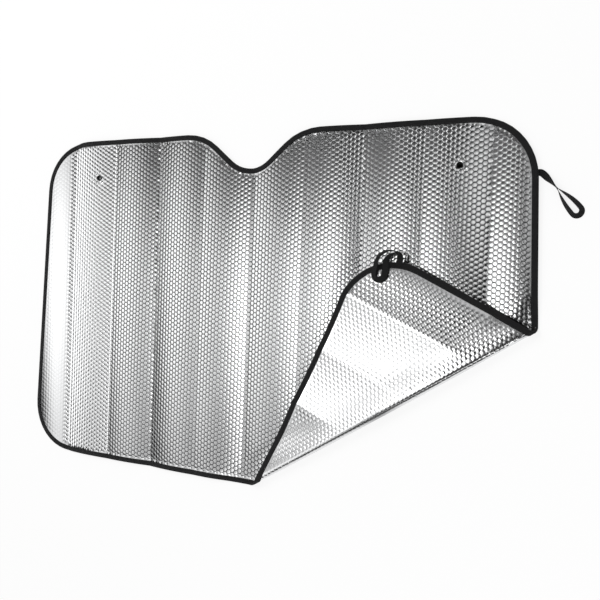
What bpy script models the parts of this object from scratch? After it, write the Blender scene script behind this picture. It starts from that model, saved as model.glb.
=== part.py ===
"""Windscreen sunshade: a creased sheet of metallised bubble foil with a taped edge.

The shade lies on its back with one lower corner turned over its face. Every piece that follows
the sheet is drawn on the flat pattern and carried into space by one folding rule, so the sheet,
its tape, its eyelets and its straps stay together when a size changes.

Frame: +Z up, +Y towards the mirror notch, the origin on the floor under the middle of the shade.
All sizes are in metres, all angles in radians unless a name says otherwise.
"""

import math

import bmesh
import bpy
from mathutils import Matrix, Vector

# Flat pattern of the sheet
PANEL_FOOT_WIDTH = 1.310
PANEL_HEIGHT = 0.804
SIDE_LEAN = math.radians(2.2)
HEAD_CORNER_RADIUS = 0.126
FOOT_CORNER_RADIUS = 0.122
ARC_STEP = math.radians(9.0)

# Notch for the mirror
NOTCH_DEPTH = 0.084
NOTCH_SHIFT = -0.008
NOTCH_FLANK_ANGLE = math.radians(40.0)
NOTCH_SHOULDER_RADIUS = 0.130
NOTCH_FLOOR_RADIUS = 0.075

# Sheet
SHEET_THICKNESS = 0.003
CREASE_PITCH = 0.135
CELLS_PER_PITCH = 5
ZIGZAG_RISE = 0.006
PILLOW_RISE = 0.004
DROOP_LENGTH = 0.060
RIM_DROOP = 0.006
ROW_HEIGHT = 0.135

# Corner turned over the face
FOLD_START = 0.010
FOLD_END_HEIGHT = 0.404
FOLD_RADIUS_AT_RIM = 0.008
FOLD_RADIUS_AT_MIDDLE = 0.0115
FLAP_OPENING = math.radians(4.0)
CREASE_FADE = 0.060
FADE_STEPS = 4
BEND_STEPS = 9
BEND_CELL_LENGTH = 0.085

# Edge tape
TAPE_WIDTH = 0.012
TAPE_THICKNESS = 0.0008
TAPE_GAP = 0.0006

# Eyelets and suction cups
CUP_INSET = 0.188
CUP_PAIR_SHIFT = 0.011
CUP_DROP = 0.093
EYELET_RADIUS = 0.0070
EYELET_FLANGE = 0.0012
EYELET_BARREL_RADIUS = 0.0055
EYELET_WALL = 0.0012
WASHER_THICKNESS = 0.0010
CUP_RADIUS = 0.0135
CUP_LIP = 0.0012
CUP_HEIGHT = 0.0085
CUP_WALL = 0.0016
CUP_SHOULDER = 0.0012
CUP_NECK_RADIUS = 0.0039
CUP_HEAD_RADIUS = 0.0065
CUP_HEAD_HEIGHT = 0.0028
SEAT_GAP = 0.0003
ROUND_SIDES = 32

# Elastic strap loops
UPPER_STRAP_INSET = 0.111
LOWER_STRAP_INSET = 0.084
STRAP_WIDTH = 0.013
STRAP_THICKNESS = 0.0010
STRAP_SEAM = 0.009
STRAP_CLEARANCE = 0.003
SEAM_SHARE = 0.19
UPPER_STEM_SHARE = 0.50
LOWER_STEM_SHARE = 0.36
STEM_STEPS = 12
ARM_STEPS = 8
TIP_STEPS = 5
UPPER_LOOP_SPLAY = math.radians(45.0)
LOWER_LOOP_SPLAY = math.radians(70.0)
UPPER_LOOP_OPENING = 0.0185
LOWER_LOOP_OPENING = 0.0225

# Middle of each loop from its root on the rim: outwards, along the rim towards the head, height
UPPER_STRAP_ROUTE = (
    (0.0190, -0.0128, 0.0072),
    (0.0359, -0.0310, 0.0072),
    (0.0490, -0.0462, 0.0072),
    (0.0630, -0.0625, 0.0072),
    (0.0774, -0.0797, 0.0072),
)
LOWER_STRAP_ROUTE = (
    (0.0170, -0.0090, 0.0125),
    (0.0100, -0.0240, 0.0165),
    (-0.0075, -0.0335, 0.0150),
    (-0.0290, -0.0296, 0.0122),
    (-0.0490, -0.0245, 0.0116),
)

# Derived sizes
TAPE_INNER_HEIGHT = SHEET_THICKNESS / 2 + TAPE_GAP
TAPE_OUTER_HEIGHT = TAPE_INNER_HEIGHT + TAPE_THICKNESS
STRAP_SEAT = TAPE_OUTER_HEIGHT + SEAT_GAP + STRAP_THICKNESS + SEAT_GAP / 2
MERGE_DISTANCE = 0.0002


def half_width(height):
    """Half the width of the flat sheet at a height above its foot."""
    return PANEL_FOOT_WIDTH / 2 - height * math.tan(SIDE_LEAN)


FOLD_FROM = Vector((FOLD_START, 0.0))
FOLD_ALONG = (Vector((half_width(FOLD_END_HEIGHT), FOLD_END_HEIGHT)) - FOLD_FROM).normalized()
FOLD_ACROSS = Vector((FOLD_ALONG.y, -FOLD_ALONG.x))
FOLD_LENGTH = (Vector((half_width(FOLD_END_HEIGHT), FOLD_END_HEIGHT)) - FOLD_FROM).length
FOLD_TURN = math.pi - FLAP_OPENING
BEND_LENGTH = FOLD_RADIUS_AT_MIDDLE * FOLD_TURN


def smooth_step(share):
    """Ease from 0 to 1 with level ends."""
    share = min(max(share, 0.0), 1.0)
    return share * share * (3.0 - 2.0 * share)


def fold_radius(along):
    """Radius of the turned edge, tight at both rims and fuller between them."""
    share = min(max(along / FOLD_LENGTH, 0.0), 1.0)
    return FOLD_RADIUS_AT_RIM + (FOLD_RADIUS_AT_MIDDLE - FOLD_RADIUS_AT_RIM) * math.sin(math.pi * share)


def right_rim(height):
    """Distance of the right rim from the middle of the flat sheet at a height above its foot."""
    drop = max(FOOT_CORNER_RADIUS - height, 0.0)
    corner = FOOT_CORNER_RADIUS - math.sqrt(FOOT_CORNER_RADIUS**2 - drop**2)
    return half_width(height) - corner


def ripple(u):
    """Height that the packing creases leave in the sheet at a place across it."""
    cell = math.floor(u / CREASE_PITCH)
    share = u / CREASE_PITCH - cell
    climb = share if cell % 2 == 0 else 1.0 - share
    return climb * ZIGZAG_RISE + 4.0 * share * (1.0 - share) * PILLOW_RISE


def droop(u):
    """Drop of the sheet's free right end at a place across it."""
    share = max(u - PANEL_FOOT_WIDTH / 2 + DROOP_LENGTH, 0.0) / DROOP_LENGTH
    return share * share * RIM_DROOP


def folded(u, v, lift):
    """Carry a place on the flat pattern, and its height off the middle of the sheet, into space."""
    place = Vector((u, v)) - FOLD_FROM
    along = place.dot(FOLD_ALONG)
    across = place.dot(FOLD_ACROSS)
    radius = fold_radius(along)
    bend = radius * FOLD_TURN
    fade = smooth_step(max(-across, across - BEND_LENGTH) / CREASE_FADE)
    way_down = -1.0 if across <= 0.0 else 1.0
    height = lift + (ripple(u) + way_down * droop(u)) * fade
    if across <= 0.0:
        reach, rise = across, height
    elif across <= bend:
        turn = across / radius
        reach = (radius - height) * math.sin(turn)
        rise = radius - (radius - height) * math.cos(turn)
    else:
        beyond = across - bend
        reach = (radius - height) * math.sin(FOLD_TURN) + beyond * math.cos(FOLD_TURN)
        rise = radius - (radius - height) * math.cos(FOLD_TURN) + beyond * math.sin(FOLD_TURN)
    flat = FOLD_FROM + FOLD_ALONG * along + FOLD_ACROSS * reach
    return Vector((flat.x, flat.y, rise + TAPE_OUTER_HEIGHT))


def arc_corner(before, corner, after, radius):
    """Points of the arc that rounds a corner of the outline."""
    arriving = (corner - before).normalized()
    leaving = (after - corner).normalized()
    turn = arriving.angle_signed(leaving)
    setback = radius * math.tan(abs(turn) / 2)
    start = corner - arriving * setback
    side = -math.copysign(1.0, turn)
    centre = start + Vector((-arriving.y, arriving.x)) * radius * side
    steps = max(2, round(abs(turn) / ARC_STEP))
    points = []
    for step in range(steps + 1):
        swing = Matrix.Rotation(side * abs(turn) * step / steps, 2)
        points.append(centre + swing @ (start - centre))
    return points


def rounded_outline():
    """Outline of the flat sheet, counter-clockwise from its left foot."""
    apex_drop = NOTCH_DEPTH + NOTCH_FLOOR_RADIUS * (1.0 / math.cos(NOTCH_FLANK_ANGLE) - 1.0)
    shoulder = apex_drop / math.tan(NOTCH_FLANK_ANGLE)
    head = half_width(PANEL_HEIGHT)
    foot = half_width(0.0)
    corners = (
        (Vector((-foot, 0.0)), FOOT_CORNER_RADIUS),
        (Vector((foot, 0.0)), FOOT_CORNER_RADIUS),
        (Vector((head, PANEL_HEIGHT)), HEAD_CORNER_RADIUS),
        (Vector((NOTCH_SHIFT + shoulder, PANEL_HEIGHT)), NOTCH_SHOULDER_RADIUS),
        (Vector((NOTCH_SHIFT, PANEL_HEIGHT - apex_drop)), NOTCH_FLOOR_RADIUS),
        (Vector((NOTCH_SHIFT - shoulder, PANEL_HEIGHT)), NOTCH_SHOULDER_RADIUS),
        (Vector((-head, PANEL_HEIGHT)), HEAD_CORNER_RADIUS),
    )
    points = []
    for index, (corner, radius) in enumerate(corners):
        before = corners[index - 1][0]
        after = corners[(index + 1) % len(corners)][0]
        points.extend(arc_corner(before, corner, after, radius))
    return points


def offset_outline(points, distance):
    """Outline moved outwards by a distance, mitred at its points."""
    moved = []
    for index, point in enumerate(points):
        arriving = (point - points[index - 1]).normalized()
        leaving = (points[(index + 1) % len(points)] - point).normalized()
        outward = Vector((arriving.y + leaving.y, -arriving.x - leaving.x)).normalized()
        mitre = outward.dot(Vector((leaving.y, -leaving.x)))
        moved.append(point + outward * (distance / mitre))
    return moved


def cut(bm, faces, point, normal):
    """Cut some faces of a flat mesh along a line."""
    edges = {edge for face in faces for edge in face.edges}
    verts = {vert for face in faces for vert in face.verts}
    geometry = list(verts) + list(edges) + list(faces)
    bmesh.ops.bisect_plane(
        bm,
        geom=geometry,
        dist=MERGE_DISTANCE,
        plane_co=(point.x, point.y, 0.0),
        plane_no=(normal.x, normal.y, 0.0),
    )


def faces_across(bm, low, high):
    """Faces whose middle lies between two distances from the fold line."""
    chosen = []
    for face in bm.faces:
        middle = face.calc_center_median().to_2d() - FOLD_FROM
        if low <= middle.dot(FOLD_ACROSS) <= high:
            chosen.append(face)
    return chosen


def cut_along_fold(bm, low, high, distances):
    """Cut the faces between two distances from the fold line parallel to it."""
    for distance in distances:
        cut(bm, faces_across(bm, low, high), FOLD_FROM + FOLD_ACROSS * distance, FOLD_ACROSS)


def cut_into_cells(bm):
    """Cut a flat mesh where the folded sheet changes slope."""
    far = PANEL_FOOT_WIDTH
    cut_along_fold(bm, -far, far, (0.0, BEND_LENGTH))
    bend_lines = [BEND_LENGTH * step / BEND_STEPS for step in range(1, BEND_STEPS)]
    cut_along_fold(bm, 0.0, BEND_LENGTH, bend_lines)
    for step in range(1, math.ceil(FOLD_LENGTH / BEND_CELL_LENGTH)):
        spot = FOLD_FROM + FOLD_ALONG * step * BEND_CELL_LENGTH
        cut(bm, faces_across(bm, 0.0, BEND_LENGTH), spot, FOLD_ALONG)
    fade_lines = [CREASE_FADE * step / FADE_STEPS for step in range(1, FADE_STEPS + 1)]
    cut_along_fold(bm, -far, 0.0, [-line for line in fade_lines])
    cut_along_fold(bm, BEND_LENGTH, far, [BEND_LENGTH + line for line in fade_lines])
    cell = CREASE_PITCH / CELLS_PER_PITCH
    columns = math.floor(PANEL_FOOT_WIDTH / 2 / cell)
    for column in range(-columns, columns + 1):
        for low, high in ((-far, 0.0), (BEND_LENGTH, far)):
            cut(bm, faces_across(bm, low, high), Vector((column * cell, 0.0)), Vector((1.0, 0.0)))
    for row in range(1, math.ceil(PANEL_HEIGHT / ROW_HEIGHT)):
        for low, high in ((-far, 0.0), (BEND_LENGTH, far)):
            cut(bm, faces_across(bm, low, high), Vector((0.0, row * ROW_HEIGHT)), Vector((0.0, 1.0)))
    bmesh.ops.triangulate(bm, faces=bm.faces[:], quad_method="BEAUTY", ngon_method="BEAUTY")


def flat_sheet():
    """Flat mesh of the whole pattern."""
    bm = bmesh.new()
    bm.faces.new([bm.verts.new((point.x, point.y, 0.0)) for point in rounded_outline()])
    cut_into_cells(bm)
    return bm


def flat_band():
    """Flat mesh of the ring that the edge tape covers, seen as two rows of points."""
    outline = rounded_outline()
    bm = bmesh.new()
    outer = [bm.verts.new((p.x, p.y, 0.0)) for p in offset_outline(outline, TAPE_GAP)]
    inner = [bm.verts.new((p.x, p.y, 0.0)) for p in offset_outline(outline, -TAPE_WIDTH)]
    for index in range(len(outline)):
        after = (index + 1) % len(outline)
        bm.faces.new((outer[index], outer[after], inner[after], inner[index]))
    cut_into_cells(bm)
    return bm


def rim_loops(bm):
    """Boundary loops of a flat mesh as ordered vertices, each with the mesh on its left."""
    following = {}
    for face in bm.faces:
        for loop in face.loops:
            if loop.edge.is_boundary:
                following[loop.vert] = loop.link_loop_next.vert
    loops = []
    while following:
        start = next(iter(following))
        ring = [start]
        while following[ring[-1]] is not start:
            ring.append(following.pop(ring[-1]))
        following.pop(ring[-1])
        loops.append(ring)
    return loops


def outward_at(ring, index):
    """Direction out of the mesh at a vertex of its rim."""
    arriving = (ring[index].co - ring[index - 1].co).normalized()
    leaving = (ring[(index + 1) % len(ring)].co - ring[index].co).normalized()
    return Vector((arriving.y + leaving.y, -arriving.x - leaving.x)).normalized()


def add_layer(solid, flat, lift, facing_up):
    """Add one folded copy of a flat mesh and return its vertices by the flat ones."""
    copies = {vert: solid.verts.new(folded(vert.co.x, vert.co.y, lift)) for vert in flat.verts}
    for face in flat.faces:
        corners = [copies[vert] for vert in face.verts]
        solid.faces.new(corners if facing_up else corners[::-1])
    return copies


def join_rings(solid, lower, upper):
    """Wall between two rings of vertices that run with the solid on their left."""
    for index in range(len(lower)):
        after = (index + 1) % len(lower)
        solid.faces.new((lower[index], lower[after], upper[after], upper[index]))


def make_object(name, bm, material):
    """Turn a bmesh into a named, smooth-shaded object."""
    bmesh.ops.triangulate(bm, faces=bm.faces[:])
    mesh = bpy.data.meshes.new(name)
    bm.to_mesh(mesh)
    bm.free()
    mesh.shade_smooth()
    mesh.set_sharp_from_angle(angle=math.radians(35.0))
    mesh.materials.append(material)
    piece = bpy.data.objects.new(name, mesh)
    bpy.context.scene.collection.objects.link(piece)
    return piece


def make_material(name, colour, roughness, metallic, transmission=0.0):
    """Plain material for one finish."""
    material = bpy.data.materials.new(name)
    material.use_nodes = True
    shader = material.node_tree.nodes["Principled BSDF"]
    shader.inputs["Base Color"].default_value = (*colour, 1.0)
    shader.inputs["Roughness"].default_value = roughness
    shader.inputs["Metallic"].default_value = metallic
    shader.inputs["Transmission Weight"].default_value = transmission
    return material


def build_sheet(material):
    """Creased sheet with one corner turned over."""
    flat = flat_sheet()
    solid = bmesh.new()
    top = add_layer(solid, flat, SHEET_THICKNESS / 2, True)
    bottom = add_layer(solid, flat, -SHEET_THICKNESS / 2, False)
    for ring in rim_loops(flat):
        join_rings(solid, [bottom[vert] for vert in ring], [top[vert] for vert in ring])
    flat.free()
    return make_object("foil_panel", solid, material)


def build_tape(material):
    """Edge tape: a U of cloth round the whole rim, following the creases and the turned corner."""
    flat = flat_band()
    solid = bmesh.new()
    layers = {
        "top": add_layer(solid, flat, TAPE_OUTER_HEIGHT, True),
        "top_lining": add_layer(solid, flat, TAPE_INNER_HEIGHT, False),
        "back_lining": add_layer(solid, flat, -TAPE_INNER_HEIGHT, True),
        "back": add_layer(solid, flat, -TAPE_OUTER_HEIGHT, False),
    }
    rings = sorted(rim_loops(flat), key=len, reverse=True)
    outer = max(rings, key=lambda ring: max(vert.co.x for vert in ring))
    for ring in rings:
        top = [layers["top"][vert] for vert in ring]
        top_lining = [layers["top_lining"][vert] for vert in ring]
        back_lining = [layers["back_lining"][vert] for vert in ring]
        back = [layers["back"][vert] for vert in ring]
        if ring is not outer:
            join_rings(solid, top_lining, top)
            join_rings(solid, back, back_lining)
            continue
        join_rings(solid, top_lining, back_lining)
        below = back
        for share in (-0.6, 0.6):
            nose = []
            for index, vert in enumerate(ring):
                spot = vert.co.to_2d() + outward_at(ring, index) * TAPE_THICKNESS
                nose.append(solid.verts.new(folded(spot.x, spot.y, share * TAPE_OUTER_HEIGHT)))
            join_rings(solid, below, nose)
            below = nose
        join_rings(solid, below, top)
    flat.free()
    return make_object("edge_binding", solid, material)


def seat_frame(u, v):
    """Frame on the sheet's middle surface, its Z axis out of the face and its Y towards the head."""
    step = CREASE_PITCH / CELLS_PER_PITCH / 4
    across = folded(u + step, v, 0.0) - folded(u - step, v, 0.0)
    along = folded(u, v + step, 0.0) - folded(u, v - step, 0.0)
    normal = across.cross(along).normalized()
    side = along.cross(normal).normalized()
    ahead = normal.cross(side)
    frame = Matrix((side, ahead, normal)).transposed().to_4x4()
    frame.translation = folded(u, v, 0.0)
    return frame


def turned_solid(name, profile, frame, material):
    """Solid turned about its own Z axis from a profile of radius and height, listed upwards."""
    bm = bmesh.new()
    rings = []
    for radius, height in profile:
        if radius == 0.0:
            rings.append([bm.verts.new(frame @ Vector((0.0, 0.0, height)))])
            continue
        ring = []
        for side in range(ROUND_SIDES):
            angle = math.tau * side / ROUND_SIDES
            spot = Vector((radius * math.cos(angle), radius * math.sin(angle), height))
            ring.append(bm.verts.new(frame @ spot))
        rings.append(ring)
    closed = len(rings[0]) > 1
    for lower, upper in zip(rings, rings[1:] + rings[:1] if closed else rings[1:]):
        for side in range(ROUND_SIDES):
            after = (side + 1) % ROUND_SIDES
            corners = [lower[side % len(lower)], lower[after % len(lower)]]
            corners += [upper[after % len(upper)], upper[side % len(upper)]]
            bm.faces.new(list(dict.fromkeys(corners)))
    return make_object(name, bm, material)


def build_eyelet(side, frame, material):
    """Black eyelet: a flange on the face with a barrel through the sheet."""
    face = SHEET_THICKNESS / 2 + SEAT_GAP
    back = -SHEET_THICKNESS / 2 - SEAT_GAP - WASHER_THICKNESS
    bore = EYELET_BARREL_RADIUS - EYELET_WALL
    profile = (
        (bore, back),
        (EYELET_BARREL_RADIUS, back),
        (EYELET_BARREL_RADIUS, face),
        (EYELET_RADIUS, face),
        (EYELET_RADIUS, face + EYELET_FLANGE / 2),
        (EYELET_RADIUS - EYELET_FLANGE / 2, face + EYELET_FLANGE),
        (bore + EYELET_FLANGE / 3, face + EYELET_FLANGE),
        (bore, face + EYELET_FLANGE * 2 / 3),
    )
    return turned_solid(f"{side}_eyelet", profile, frame, material)


def build_washer(side, frame, material):
    """Black washer that closes the eyelet on the back of the sheet."""
    face = -SHEET_THICKNESS / 2 - SEAT_GAP
    bore = EYELET_BARREL_RADIUS + SEAT_GAP
    profile = (
        (bore, face - WASHER_THICKNESS),
        (EYELET_RADIUS - WASHER_THICKNESS / 2, face - WASHER_THICKNESS),
        (EYELET_RADIUS, face - WASHER_THICKNESS / 2),
        (EYELET_RADIUS, face),
        (bore, face),
    )
    return turned_solid(f"{side}_eyelet_washer", profile, frame, material)


def build_cup(side, frame, material):
    """Clear suction cup: mouth to the windscreen, neck through the eyelet, head behind it."""
    back = -SHEET_THICKNESS / 2 - SEAT_GAP - WASHER_THICKNESS - SEAT_GAP
    face = SHEET_THICKNESS / 2 + SEAT_GAP + EYELET_FLANGE + SEAT_GAP
    shoulder_radius = CUP_NECK_RADIUS + CUP_WALL
    lip = face + CUP_HEIGHT
    profile = (
        (0.0, back - CUP_HEAD_HEIGHT),
        (CUP_HEAD_RADIUS * 0.7, back - CUP_HEAD_HEIGHT),
        (CUP_HEAD_RADIUS, back - CUP_HEAD_HEIGHT / 2),
        (CUP_HEAD_RADIUS, back),
        (CUP_NECK_RADIUS, back),
        (CUP_NECK_RADIUS, face),
        (shoulder_radius, face),
        (shoulder_radius, face + CUP_SHOULDER),
        (CUP_RADIUS * 0.62, face + CUP_HEIGHT * 0.42),
        (CUP_RADIUS * 0.88, face + CUP_HEIGHT * 0.74),
        (CUP_RADIUS, lip),
        (CUP_RADIUS - CUP_LIP, lip),
        (CUP_RADIUS * 0.80, face + CUP_HEIGHT * 0.74 + CUP_WALL * 0.3),
        (CUP_RADIUS * 0.50, face + CUP_HEIGHT * 0.42 + CUP_WALL * 0.6),
        (0.0, face + CUP_SHOULDER + CUP_WALL),
    )
    return turned_solid(f"{side}_suction_cup", profile, frame, material)


def punch_hole(sheet, side, frame):
    """Hole in the sheet for one eyelet's barrel."""
    reach = SHEET_THICKNESS * 2
    radius = EYELET_BARREL_RADIUS + SEAT_GAP
    bm = bmesh.new()
    bmesh.ops.create_cone(
        bm,
        cap_ends=True,
        segments=ROUND_SIDES,
        radius1=radius,
        radius2=radius,
        depth=reach * 2,
        matrix=frame,
    )
    mesh = bpy.data.meshes.new(f"{side}_hole_cutter")
    bm.to_mesh(mesh)
    bm.free()
    cutter = bpy.data.objects.new(f"{side}_hole_cutter", mesh)
    bpy.context.scene.collection.objects.link(cutter)
    cutter.hide_render = True
    cutter.display_type = "WIRE"
    hole = sheet.modifiers.new(f"{side}_hole", "BOOLEAN")
    hole.operation = "DIFFERENCE"
    hole.object = cutter
    return cutter


def on_curve(points, share):
    """Point at a share of a smooth curve through a list of points, straight over its first span."""
    spans = len(points) - 1
    span = min(int(share * spans), spans - 1)
    t = share * spans - span
    start, end = points[span], points[span + 1]
    before = points[span - 1] if span > 0 else start * 2 - end
    after = points[span + 2] if span + 1 < spans else end * 2 - start
    slope_in = (end - before) / 2 if span > 1 else start - before
    slope_out = (after - start) / 2 if span > 0 else end - start
    hermite = start * (2 * t**3 - 3 * t**2 + 1) + end * (3 * t**2 - 2 * t**3)
    return hermite + slope_in * (t**3 - 2 * t**2 + t) + slope_out * (t**3 - t**2)


def strap_stations(stem_share, tip_share, splay):
    """Stations of a strap: its stem, the arms of its loop and the half circle at the tip.

    Each is a share of the strap's length, a share of the loop's opening, the angle swung round
    the tip, and the lean that takes the ribbon's lower edge out of the loop.
    """
    stations = [(stem_share * step / STEM_STEPS, 0.0, 0.0, 0.0) for step in range(STEM_STEPS)]
    arm_share = 1.0 - stem_share - tip_share
    for step in range(ARM_STEPS):
        spread = math.sin(math.pi / 2 * step / ARM_STEPS)
        share = stem_share + arm_share * step / ARM_STEPS
        stations.append((share, spread, 0.0, splay * spread))
    for step in range(TIP_STEPS + 1):
        swing = math.pi / 2 * step / TIP_STEPS
        share = 1.0 - tip_share * (1.0 - math.sin(swing))
        stations.append((share, math.cos(swing), swing, splay))
    return stations


def build_strap(name, middle, seam_normal, stem_share, opening, splay, material):
    """Elastic ribbon sewn flat by both ends, then twisted on edge into an open, splayed loop."""
    spans = len(middle) - 1
    tip_share = opening / 2 / (middle[-1] - middle[-2]).length / spans
    plies = (STRAP_THICKNESS + SEAT_GAP) / 2
    near, far = [], []
    for share, spread, swing, lean in strap_stations(stem_share, tip_share, splay):
        spot = on_curve(middle, share)
        spot.z -= STRAP_WIDTH / 2 * (1.0 - math.cos(lean))
        ahead = on_curve(middle, min(share + 0.01, 1.0)) - on_curve(middle, max(share - 0.01, 0.0))
        ahead.normalize()
        turned = smooth_step((share - SEAM_SHARE) / (stem_share - SEAM_SHARE))
        level = ahead.cross(seam_normal.lerp(Vector((0.0, 0.0, 1.0)), turned)).normalized()
        upright = level.cross(ahead)
        twist = math.pi / 2 * turned
        stack = upright * math.cos(twist) + level * math.sin(twist)
        width = level * math.cos(twist) - upright * math.sin(twist)
        apart = plies * math.sqrt(1.0 - share**6) + opening / 2 * spread
        for way, side in ((1.0, near), (-1.0, far)):
            outward = stack * way * math.cos(swing) + ahead * math.sin(swing)
            leaning = width * math.cos(lean) + outward * math.sin(lean)
            side.append((spot + stack * way * apart, leaning))
    path = near + far[-2::-1]
    bm = bmesh.new()
    rings = []
    for index, (spot, leaning) in enumerate(path):
        ahead = path[min(index + 1, len(path) - 1)][0] - path[max(index - 1, 0)][0]
        wide = leaning * STRAP_WIDTH / 2
        thick = ahead.cross(leaning).normalized() * STRAP_THICKNESS / 2
        corners = (wide + thick, thick - wide, -wide - thick, wide - thick)
        rings.append([bm.verts.new(spot + corner) for corner in corners])
    for lower, upper in zip(rings, rings[1:]):
        join_rings(bm, lower, upper)
    bm.faces.new(rings[0][::-1])
    bm.faces.new(rings[-1])
    bmesh.ops.recalc_face_normals(bm, faces=bm.faces[:])
    return make_object(name, bm, material)


def strap_seam(u, v):
    """Straight stretch of a strap under the back of the edge tape, from the seam past the rim."""
    return [folded(u - STRAP_SEAM, v, -STRAP_SEAT), folded(u + STRAP_CLEARANCE, v, -STRAP_SEAT)]


def build_straps(material):
    """Both strap loops on the right rim, one near the head and one on the turned corner."""
    upper_v = PANEL_HEIGHT - UPPER_STRAP_INSET
    upper_u = right_rim(upper_v)
    upper = strap_seam(upper_u, upper_v)
    for out, along, height in UPPER_STRAP_ROUTE:
        upper.append(Vector((upper_u + out, upper_v + along, height)))
    upper_normal = seat_frame(upper_u, upper_v).col[2].to_3d()
    lower_v = LOWER_STRAP_INSET
    lower_u = right_rim(lower_v)
    lower = strap_seam(lower_u, lower_v)
    for out, along, height in LOWER_STRAP_ROUTE:
        lower.append(folded(lower_u + out, lower_v + along, -height))
    lower_normal = -seat_frame(lower_u, lower_v).col[2].to_3d()
    upper_loop = (UPPER_STEM_SHARE, UPPER_LOOP_OPENING, UPPER_LOOP_SPLAY)
    lower_loop = (LOWER_STEM_SHARE, LOWER_LOOP_OPENING, LOWER_LOOP_SPLAY)
    return [
        build_strap("upper_strap", upper, upper_normal, *upper_loop, material),
        build_strap("lower_strap", lower, lower_normal, *lower_loop, material),
    ]


def set_on_floor(pieces):
    """Move every piece so that the shade's box stands centred on the origin."""
    corners = [vert.co for piece in pieces for vert in piece.data.vertices if not piece.hide_render]
    low = Vector(min(corner[axis] for corner in corners) for axis in range(3))
    high = Vector(max(corner[axis] for corner in corners) for axis in range(3))
    shift = Matrix.Translation(-Vector(((low.x + high.x) / 2, (low.y + high.y) / 2, low.z)))
    for piece in pieces:
        piece.data.transform(shift)


def main():
    """Build the whole shade."""
    for old in list(bpy.data.objects):
        bpy.data.objects.remove(old)
    foil = make_material("metallised_foil", (0.86, 0.87, 0.88), 0.22, 1.0)
    cloth = make_material("black_tape", (0.015, 0.015, 0.016), 0.75, 0.0)
    elastic = make_material("black_elastic", (0.012, 0.012, 0.013), 0.85, 0.0)
    plastic = make_material("black_plastic", (0.02, 0.02, 0.02), 0.35, 0.0)
    clear = make_material("clear_vinyl", (0.93, 0.94, 0.94), 0.12, 0.0, 0.9)
    sheet = build_sheet(foil)
    pieces = [sheet, build_tape(cloth)]
    reach = PANEL_FOOT_WIDTH / 2 - CUP_INSET
    for side, place in (("left", CUP_PAIR_SHIFT - reach), ("right", CUP_PAIR_SHIFT + reach)):
        frame = seat_frame(place, PANEL_HEIGHT - CUP_DROP)
        pieces.append(punch_hole(sheet, side, frame))
        pieces.append(build_eyelet(side, frame, plastic))
        pieces.append(build_washer(side, frame, plastic))
        pieces.append(build_cup(side, frame, clear))
    pieces.extend(build_straps(elastic))
    set_on_floor(pieces)


main()
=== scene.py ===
"""Looks of the windscreen sunshade: bubble foil, stitched edge tape, elastic loops, clear cups.

Every piece that follows the sheet is modelled on its flat pattern and carried into space by the
same folding rule as the solids, so it lands where they are. Sizes are in metres and angles in
radians unless a name says otherwise.
"""

import logging
import math
from collections.abc import Callable, Iterable, Sequence
from dataclasses import dataclass
from enum import Enum

import bmesh
import bpy
from bmesh.types import BMEdge, BMesh, BMFace, BMVert
from bpy.types import Material, Node, NodeOutputs, NodeSocket, Object, World
from mathutils import Matrix, Vector
from mathutils.kdtree import KDTree


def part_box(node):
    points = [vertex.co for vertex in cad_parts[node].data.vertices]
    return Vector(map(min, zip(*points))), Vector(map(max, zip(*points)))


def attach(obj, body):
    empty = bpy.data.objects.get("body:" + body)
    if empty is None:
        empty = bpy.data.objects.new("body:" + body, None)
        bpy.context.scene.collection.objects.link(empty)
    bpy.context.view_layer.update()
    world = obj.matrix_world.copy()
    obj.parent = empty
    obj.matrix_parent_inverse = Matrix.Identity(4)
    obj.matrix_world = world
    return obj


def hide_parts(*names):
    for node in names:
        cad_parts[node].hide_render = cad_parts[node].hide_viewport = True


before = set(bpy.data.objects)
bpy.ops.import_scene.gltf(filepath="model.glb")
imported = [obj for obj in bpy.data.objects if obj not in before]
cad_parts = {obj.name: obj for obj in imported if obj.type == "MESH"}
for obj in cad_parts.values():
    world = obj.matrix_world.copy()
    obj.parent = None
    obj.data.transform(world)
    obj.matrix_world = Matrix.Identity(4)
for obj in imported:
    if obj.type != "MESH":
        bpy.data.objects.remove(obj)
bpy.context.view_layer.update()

Pair = tuple[float, float]
Triple = tuple[float, float, float]

BODY = "root"
MERGE_DISTANCE = 0.00005
WHITE = (1.0, 1.0, 1.0, 1.0)
LOG = logging.getLogger("sunshade")


class Face(Enum):
    """The two faces of the sheet."""

    FRONT = 1.0
    BACK = -1.0


class Side(Enum):
    """The two suction cups."""

    LEFT = -1.0
    RIGHT = 1.0


class StrapPlace(Enum):
    """The two elastic loops."""

    UPPER = "upper_strap"
    LOWER = "lower_strap"


def smooth_step(share: float) -> float:
    """Ease from 0 to 1 with level ends."""
    share = min(max(share, 0.0), 1.0)
    return share * share * (3.0 - 2.0 * share)


def add_piece(name: str, bm: BMesh, sharp_angle: float = 180.0) -> Object:
    """Turn a bmesh into a smooth-shaded object.

    Args:
        name: Name of the new object.
        bm: Its mesh, in the row's frame. It is freed.
        sharp_angle: Angle in degrees between faces past which an edge is shaded sharp.

    Returns:
        The new object, linked to the scene.
    """
    mesh = bpy.data.meshes.new(name)
    bm.to_mesh(mesh)
    bm.free()
    mesh.shade_smooth()
    if sharp_angle < 180.0:
        mesh.set_sharp_from_angle(angle=math.radians(sharp_angle))
    piece = bpy.data.objects.new(name, mesh)
    bpy.context.scene.collection.objects.link(piece)
    return piece


def repeat(bm: BMesh, geometry: Sequence, steps: Iterable[Vector]) -> None:
    """Copy some geometry to further places.

    Args:
        bm: Mesh that holds the geometry.
        geometry: Vertices, edges and faces to copy.
        steps: How far each copy stands from the first.
    """
    for step in steps:
        copied = bmesh.ops.duplicate(bm, geom=geometry)["geom"]
        verts = [part for part in copied if isinstance(part, BMVert)]
        bmesh.ops.translate(bm, verts=verts, vec=step)


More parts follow.
